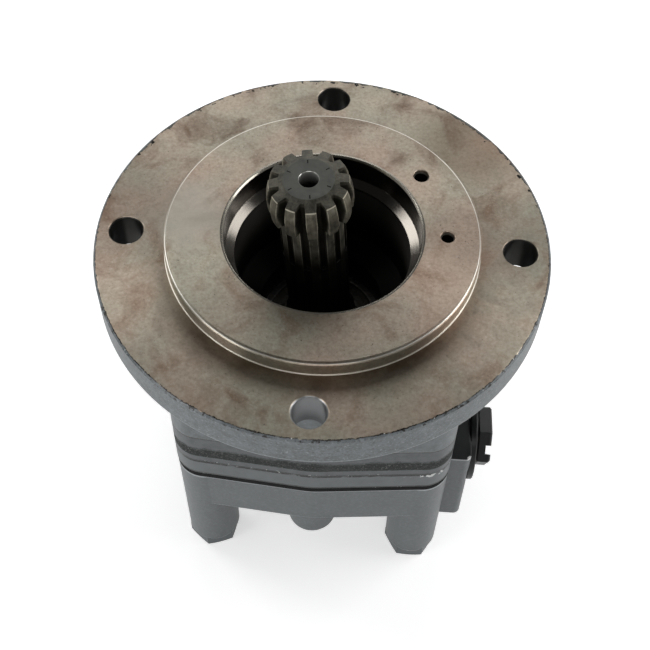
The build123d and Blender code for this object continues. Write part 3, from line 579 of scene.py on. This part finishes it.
def link_steel(name, head):
    """Dark hardened steel; the head's face and tooth edges are added on the shaft that has one."""
    material, tree, shader, where = blank(name)
    axis = (head_centre - link_centre).normalized()
    side = Vector((axis.z, 0, -axis.x)).normalized()
    lean = Matrix((side, axis.cross(side), axis)).transposed().to_euler()
    local = add(tree, "ShaderNodeMapping", {"Vector": where, "Location": head_centre, "Rotation": lean},
                vector_type="TEXTURE").outputs[0]
    x, y, height, _, radius = polar(tree, local)
    stretched = add(tree, "ShaderNodeMapping", {"Vector": local, "Scale": (8.0, 8.0, 1.0)}).outputs[0]
    lines = noise(tree, stretched, 0.006, 5.0, 0.6)
    blotch = noise(tree, where, 0.0045, 5.0, 0.65, 0.5)
    grit = noise(tree, where, 0.0006, 3.0, 0.6)
    both = calc(tree, "MULTIPLY_ADD", lines, 0.5, blotch)
    colour = ramp(tree, both, [(0.55, skin_dark), (0.75, skin_mid), (0.95, skin_light)])
    colour = between(tree, calc(tree, "MULTIPLY", span(tree, grit, 0.62, 0.75), 0.5), colour, grit_light)
    rough = level(tree, span(tree, blotch, 0.3, 0.7), 0.38, 0.52)
    if head:
        # Grooves darker than the teeth, which is painted shade, the crown darker again, a bright line along
        # each tooth's edges, worn and partly a painted highlight, and the bar black deep in the bore, painted
        # shade with old oil.
        angle = calc(tree, "ARCTAN2", y, x)
        tooth_phase = teeth + 0.5 - teeth * spline_turn / (2 * math.pi)
        tooth = calc(tree, "FRACT", calc(tree, "MULTIPLY_ADD", angle, teeth / (2 * math.pi), tooth_phase))
        off_tooth = calc(tree, "ABSOLUTE", calc(tree, "SUBTRACT", tooth, 0.5))
        below = span(tree, height, groove_from, groove_full)
        groove = calc(tree, "MULTIPLY", span(tree, off_tooth, tooth_half, tooth_half + 0.04), below)
        colour = between(tree, calc(tree, "MULTIPLY", groove, 0.85), colour, groove_shade)
        crown = span(tree, height, crown_from, crown_full)
        colour = between(tree, calc(tree, "MULTIPLY", crown, 0.45), colour, crown_dark)
        rub_and_highlight = calc(tree, "ABSOLUTE", calc(tree, "SUBTRACT", off_tooth, tooth_half - 0.01))
        rub_and_highlight = span(tree, rub_and_highlight, 0.028, 0.012)
        rub_and_highlight = calc(tree, "MULTIPLY", rub_and_highlight, calc(tree, "MULTIPLY", below, span(tree, blotch, 0.30, 0.60)))
        colour = between(tree, calc(tree, "MULTIPLY", rub_and_highlight, 0.65), colour, worn_edge_and_highlight)
        deep_shade = span(tree, height, deep_shade_from, deep_shade_full)
        colour = between(tree, calc(tree, "MULTIPLY", deep_shade, 0.92), colour, deep_shade_and_oil)

        # The flat disc round the centre hole, the bright edge of the teeth, and the driver's marks.
        face = calc(tree, "MULTIPLY", calc(tree, "GREATER_THAN", height, -0.00008),
                    calc(tree, "LESS_THAN", radius, disc_r))
        colour = between(tree, face, colour, ramp(tree, blotch, [(0.3, disc_dark), (0.7, disc_light)]))
        gap = add(tree, "ShaderNodeCombineXYZ", {"X": calc(tree, "SUBTRACT", radius, tip_edge_r),
                                                 "Y": calc(tree, "ADD", height, tip_edge_drop)}).outputs[0]
        away = add(tree, "ShaderNodeVectorMath", {0: gap}, operation="LENGTH").outputs["Value"]
        colour = between(tree, span(tree, away, tip_line_half + 0.0002, tip_line_half), colour, worn_edge_and_highlight)
        mark_phase = 1.5 * marks - marks * spline_turn / (2 * math.pi)
        sector = calc(tree, "FRACT", calc(tree, "MULTIPLY_ADD", angle, marks / (2 * math.pi), mark_phase))
        mark_spacing = mark_circle_r * 2 * math.pi / marks
        across = calc(tree, "MULTIPLY", calc(tree, "SUBTRACT", sector, 0.5), mark_spacing)
        along = calc(tree, "SUBTRACT", radius, mark_circle_r)
        mark = calc(tree, "MULTIPLY",
                    calc(tree, "LESS_THAN", calc(tree, "ABSOLUTE", across), mark_half_width),
                    calc(tree, "LESS_THAN", calc(tree, "ABSOLUTE", along), mark_length))
        colour = between(tree, calc(tree, "MULTIPLY", mark, face), colour, mark_dark)
        # The centre hole: a painted highlight at its mouth, fading to painted shade deeper in.
        hole = calc(tree, "LESS_THAN", radius, centre_hole_r)
        hole_tint = between(tree, span(tree, height, -0.001, -0.006), centre_painted_highlight, centre_painted_shade)
        colour = between(tree, hole, colour, hole_tint)
        rough = level(tree, hole, rough, 0.16)
    tree.links.new(colour, shader.inputs["Base Color"])
    shader.inputs["Metallic"].default_value = 0.6
    tree.links.new(rough, shader.inputs["Roughness"])
    relief = calc(tree, "MULTIPLY_ADD", grit, 0.6, lines)
    edges = add(tree, "ShaderNodeBevel", {"Radius": 0.00025}, samples=4).outputs[0]
    bump = add(tree, "ShaderNodeBump", {"Strength": 0.35, "Distance": 0.00006, "Height": relief,
                                        "Normal": edges})
    tree.links.new(bump.outputs[0], shader.inputs["Normal"])
    return material


dress(link_steel("oil_quenched_steel_head", True), "cardan_shaft")
dress(link_steel("oil_quenched_steel", False), "valve_drive")

# Channel plate
# Cast iron, ground on both faces and painted with the rest. The paint is thin and broken along its
# lower and upper corners, where bright chips show, most of them at the front right.
plate_top = -0.0655
plate_low = -0.0743
plate_paint_low = "565b5d"
plate_paint_high = "666b6d"
plate_corner = "8b9092"
plate_joint_and_shade = "121414"
painted_plate, tree, shader, where = blank("painted_channel_plate")
parts = add(tree, "ShaderNodeSeparateXYZ", {0: where})
cloud = noise(tree, where, 0.004, 5.0)
ragged = noise(tree, where, 0.0014, 4.0, 0.7)
edges, worn = rounded(tree, 0.0007, ragged, 1.0, 0.96)
colour = ramp(tree, cloud, [(0.3, plate_paint_low), (0.7, plate_paint_high)])
colour = between(tree, worn, colour, plate_corner)
wavy = calc(tree, "MULTIPLY_ADD", ragged, 0.0008, parts.outputs["Z"])
joint = calc(tree, "MULTIPLY", calc(tree, "GREATER_THAN", wavy, plate_top - 0.0004),
             span(tree, noise(tree, where, 0.005, 3.0, 0.6, 0.0, (0.1, 0.5, 0.3)), 0.36, 0.46))
# Painted shade along the plate's lower edge, above the joint seal; the broken dark line at its top is the
# joint.
joint_shade = span(tree, wavy, plate_low + dark_line_rise, plate_low + dark_line_rise - 0.0003)
colour = between(tree, calc(tree, "MAXIMUM", joint, joint_shade), colour, plate_joint_and_shade)
corner = span(tree, calc(tree, "SUBTRACT", parts.outputs["X"], parts.outputs["Y"]), 0.078, 0.086)
chips = noise(tree, where, 0.0016, 2.0, 0.5, 0.0, (0.5, 0.2, 0.6))
chips = span(tree, calc(tree, "MULTIPLY_ADD", corner, 0.07, chips), 0.66, 0.69)
upper = calc(tree, "GREATER_THAN", wavy, plate_top - 0.0016)
chips = calc(tree, "MULTIPLY", chips, calc(tree, "MAXIMUM", worn, calc(tree, "MULTIPLY", corner, upper)))
colour = between(tree, chips, colour, chip_and_highlight_bright)
rough = level(tree, span(tree, cloud, 0.3, 0.7), 0.30, 0.42)
ground_inside(tree, shader, where, colour, rough, plate_top, plate_low, pockets_r)
bump = add(tree, "ShaderNodeBump", {"Strength": 0.25, "Distance": 0.00015, "Height": ragged, "Normal": edges})
tree.links.new(bump.outputs[0], shader.inputs["Normal"])
dress(painted_plate, "channel_plate")

# Rear casting
# Grey iron cast in a fine mould: valve chamber, port boss, four screw columns and two round bosses.
# Satin grey paint, smooth on the flat sides and thin on the edges, with a painted highlight along the top
# edge and one bright spot on the port boss's front corner, bruised and partly a painted highlight. The ledge
# above the port boss is painted black, as shade under the flange.
top_level = -0.0775
ledge_level = -0.0775
chamber_low = -0.0995
chamber_r = 0.040
ledge_from = 0.0485
bruise_highlight_place = Vector((0.0570, -0.0355, -0.0776))
bruise_highlight_size = 0.0011
casting_low = "5a5f61"
casting_high = "676c6e"
casting_grain_dark = "474c4e"
casting_grain_light = "868b8d"
casting_top_highlight = "c4c9cb"
casting_corner = "989da0"
port_ledge_shade = "0e1011"
no_flat_top = 0.0
no_flat_foot = -1.0
painted_casting, tree, shader, where = blank("painted_rear_casting")
parts = add(tree, "ShaderNodeSeparateXYZ", {0: where})
cloud = noise(tree, where, 0.009, 5.0)
ragged = noise(tree, where, 0.0015, 4.0, 0.7)
edges, worn = rounded(tree, 0.0008, ragged, 1.0, 0.95)
colour = ramp(tree, cloud, [(0.3, casting_low), (0.7, casting_high)])
fine = noise(tree, where, 0.0011, 3.0, 0.6, 0.0, (0.6, 0.1, 0.2))
dark_grain = calc(tree, "MULTIPLY", span(tree, fine, 0.50, 0.30), 0.28)
colour = between(tree, dark_grain, colour, casting_grain_dark)
light_grain = calc(tree, "MULTIPLY", span(tree, fine, 0.52, 0.72), 0.28)
colour = between(tree, light_grain, colour, casting_grain_light)
# A painted highlight along the casting's rounded top edge, under the joint seal.
top_edge_highlight = calc(tree, "MULTIPLY_ADD", ragged, 0.0006, parts.outputs["Z"])
top_edge_highlight = span(tree, top_edge_highlight, top_level - 0.0008, top_level - 0.0003)
colour = between(tree, calc(tree, "MULTIPLY", top_edge_highlight, 0.65), colour, casting_top_highlight)
colour = between(tree, worn, colour, casting_corner)
chips = span(tree, noise(tree, where, 0.0018, 2.0, 0.5, 0.0, (0.1, 0.7, 0.3)), 0.66, 0.70)
colour = between(tree, calc(tree, "MULTIPLY", chips, worn), colour, chip_and_highlight_bright)
# Painted shade: the ledge under the flange is painted black.
ledge = calc(tree, "MULTIPLY", calc(tree, "GREATER_THAN", parts.outputs["Z"], ledge_level),
             calc(tree, "GREATER_THAN", parts.outputs["X"], ledge_from))
colour = between(tree, ledge, colour, port_ledge_shade)
# A bright spot on the port boss's front corner, bruised and partly a painted highlight.
apart = add(tree, "ShaderNodeVectorMath", {0: where, 1: bruise_highlight_place}, operation="DISTANCE").outputs["Value"]
bruise_and_highlight = calc(tree, "MULTIPLY_ADD", ragged, 0.0016, apart)
bruise_and_highlight = span(tree, bruise_and_highlight, bruise_highlight_size + 0.0009, bruise_highlight_size + 0.0006)
colour = between(tree, bruise_and_highlight, colour, chip_and_highlight_bright)
rough = level(tree, span(tree, cloud, 0.3, 0.7), 0.30, 0.40)
# Only the valve chamber is bare, above its floor: the casting's flat faces keep their paint.
chamber = calc(tree, "MULTIPLY", calc(tree, "GREATER_THAN", parts.outputs["Z"], chamber_low), chamber_r)
ground_inside(tree, shader, where, colour, rough, no_flat_top, no_flat_foot, chamber)
skin = calc(tree, "MULTIPLY_ADD", noise(tree, where, 0.0007, 2.0), 0.25, noise(tree, where, 0.0022, 4.0, 0.6))
bump = add(tree, "ShaderNodeBump", {"Strength": 0.18, "Distance": 0.0002, "Height": skin, "Normal": edges})
tree.links.new(bump.outputs[0], shader.inputs["Normal"])
dress(painted_casting, "rear_housing")

# Balance spring and check springs
# Drawn and blued spring steel: dark, with a slight sheen along the wire. A solid coil can't give, so
# each is shown by a copy with a mesh of its own, fixed to the housing, and the original is hidden. The
# joint and travel listed with each are not used.
wire_dark = "2e3033"
wire_light = "4a4c50"
spring_steel, tree, shader, where = blank("blued_spring_steel")
bluing = ramp(tree, noise(tree, where, 0.0012), [(0.3, wire_dark), (0.7, wire_light)])
tree.links.new(bluing, shader.inputs["Base Color"])
shader.inputs["Metallic"].default_value = 0.9
tree.links.new(ramp(tree, noise(tree, where, 0.002), [(0.3, 0.25), (0.7, 0.4)]), shader.inputs["Roughness"])
dress(spring_steel, "balance_spring", "check_spring_a", "check_spring_b")
for name, joint, travel in (("balance_spring", "balance_float", 0.0003),
                            ("check_spring_a", "check_ball_a_lift", 0.0020),
                            ("check_spring_b", "check_ball_b_lift", 0.0020)):
    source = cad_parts[name]
    mesh = source.data.copy()
    mesh.transform(source.matrix_world)
    coil = bpy.data.objects.new(f"{name}_that_gives", mesh)
    bpy.context.scene.collection.objects.link(coil)
    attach(coil, "housing")
    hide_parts(name)
    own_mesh(coil)

# Body screws, drain plug and check plugs
# Forged steel screws that clamp the stack from the rear, and turned plugs. They were sprayed with
# the body, so their heads are the same grey; the paint is thinner on the corners, which are also painted
# darker as shade.
screw_low = "5c6163"
screw_high = "686d6f"
screw_corner_shade = "3a3e40"
screw_steel, tree, shader, where = blank("painted_screw_steel")
cloud = noise(tree, where, 0.0025, 5.0, 0.65)
colour = ramp(tree, cloud, [(0.3, screw_low), (0.7, screw_high)])
# Painted shade on the corners.
edges, worn = rounded(tree, 0.0004, 0.0, 0.99, 0.93)
tree.links.new(between(tree, worn, colour, screw_corner_shade), shader.inputs["Base Color"])
tree.links.new(ramp(tree, cloud, [(0.3, 0.38), (0.7, 0.55)]), shader.inputs["Roughness"])
bump = add(tree, "ShaderNodeBump", {"Strength": 0.2, "Distance": 0.0001, "Height": cloud, "Normal": edges})
tree.links.new(bump.outputs[0], shader.inputs["Normal"])
dress(screw_steel, "body_bolts", "drain_plug", "check_plugs")

# Bonded washer
# A stamped steel ring, zinc-plated, with rubber bonded in its bore. It lies under the drain plug's
# head, and the plating is a soft bright grey.
zinc_dull = "8d9092"
zinc_bright = "a8abac"
zinc, tree, shader, where = blank("zinc_plated_washer")
plating = ramp(tree, noise(tree, where, 0.002), [(0.3, zinc_dull), (0.7, zinc_bright)])
tree.links.new(plating, shader.inputs["Base Color"])
shader.inputs["Metallic"].default_value = 1.0
tree.links.new(ramp(tree, noise(tree, where, 0.001), [(0.3, 0.3), (0.7, 0.45)]), shader.inputs["Roughness"])
dress(zinc, "drain_washer")

# Transport plugs
# Black polyethylene, moulded in one piece: thread, flange, hexagon head with a slot. A satin skin
# with a fine moulded grain, a little scuffed here and there, and rounded corners.
plastic_deep = "060707"
plastic_scuffed = "0e100f"
plug_black, tree, shader, where = blank("moulded_black_plastic")
scuff = noise(tree, where, 0.002, 4.0, 0.6)
edges = add(tree, "ShaderNodeBevel", {"Radius": 0.0006}, samples=4).outputs[0]
shader.inputs["Specular IOR Level"].default_value = 0.38
skin = ramp(tree, scuff, [(0.35, plastic_deep), (0.75, plastic_scuffed)])
tree.links.new(skin, shader.inputs["Base Color"])
tree.links.new(ramp(tree, scuff, [(0.3, 0.28), (0.7, 0.40)]), shader.inputs["Roughness"])
grain = noise(tree, where, 0.0005)
bump = add(tree, "ShaderNodeBump", {"Strength": 0.2, "Distance": 0.00008, "Height": grain, "Normal": edges})
tree.links.new(bump.outputs[0], shader.inputs["Normal"])
dress(plug_black, "port_plug_a", "port_plug_b")

# Floor
# A sheet of matt white board that the motor stands on, on its four screw heads. It glows a little
# where the camera sees it and less in reflections, so that it stays white and keeps the shadow.
board_white = "f4f4f4"
board_half = 4.0
floor_level = -0.1381
board_glow = 0.5
board_sheen = 0.22
bm = bmesh.new()
bmesh.ops.create_grid(bm, x_segments=1, y_segments=1, size=board_half)
bmesh.ops.translate(bm, verts=bm.verts, vec=(0, 0, floor_level))
mesh = bpy.data.meshes.new("floor")
bm.to_mesh(mesh)
bm.free()
floor = bpy.data.objects.new("floor", mesh)
bpy.context.scene.collection.objects.link(floor)
board, tree, shader, where = blank("white_board")
shader.inputs["Base Color"].default_value = linear(board_white)
shader.inputs["Roughness"].default_value = 0.9
shader.inputs["Specular IOR Level"].default_value = 0.1
rays = add(tree, "ShaderNodeLightPath")
shader.inputs["Emission Color"].default_value = (1.0, 1.0, 1.0, 1.0)
sheen = calc(tree, "MULTIPLY", rays.outputs["Is Glossy Ray"], board_sheen)
tree.links.new(calc(tree, "MULTIPLY_ADD", rays.outputs["Is Camera Ray"], board_glow, sheen),
               shader.inputs["Emission Strength"])
mesh.materials.append(board)

# Light
# Six soft boxes: left and right behind the motor, so that the turned rings shine in two fans, a broad
# one at the back, a weaker one over the camera, and two low ones for the painted sides. The room is
# dark overhead and paler at the horizon, and white only where the camera sees it.
boxes = (("soft_box_left", (-0.82, 0.46, 0.74), 0.42, 0.6, 3.0),
         ("soft_box_right", (0.82, 0.46, 0.74), 0.42, 0.6, 2.4),
         ("soft_box_front", (0.0, -0.95, 0.80), 0.9, 0.3, 1.8),
         ("soft_box_back", (0.0, 1.20, 0.85), 1.2, 0.5, 4.6),
         ("soft_box_low_left", (-0.90, -0.62, 0.25), 0.5, 0.5, 3.0),
         ("soft_box_low_right", (0.98, 0.02, 0.40), 0.5, 0.5, 3.0))
room_dark = 0.12
room_horizon = 0.50
overhead_from = 0.25
overhead_full = 0.75
for name, place, width, tall, power in boxes:
    lamp = bpy.data.objects.new(name, bpy.data.lights.new(name, "AREA"))
    bpy.context.scene.collection.objects.link(lamp)
    lamp.data.shape = "RECTANGLE"
    lamp.data.size = width
    lamp.data.size_y = tall
    lamp.data.energy = power
    lamp.location = place
    lamp.rotation_euler = (-Vector(place)).to_track_quat("-Z", "Y").to_euler()
world = bpy.data.worlds.new("room")
bpy.context.scene.world = world
world.use_nodes = True
tree = world.node_tree
toward = add(tree, "ShaderNodeSeparateXYZ", {0: add(tree, "ShaderNodeTexCoord").outputs["Generated"]})
sight = add(tree, "ShaderNodeLightPath").outputs["Is Camera Ray"]
room = level(tree, span(tree, toward.outputs["Z"], overhead_from, overhead_full), room_horizon, room_dark)
background = tree.nodes["Background"]
background.inputs["Color"].default_value = (1.0, 1.0, 1.0, 1.0)
tree.links.new(level(tree, sight, room, 1.0), background.inputs["Strength"])
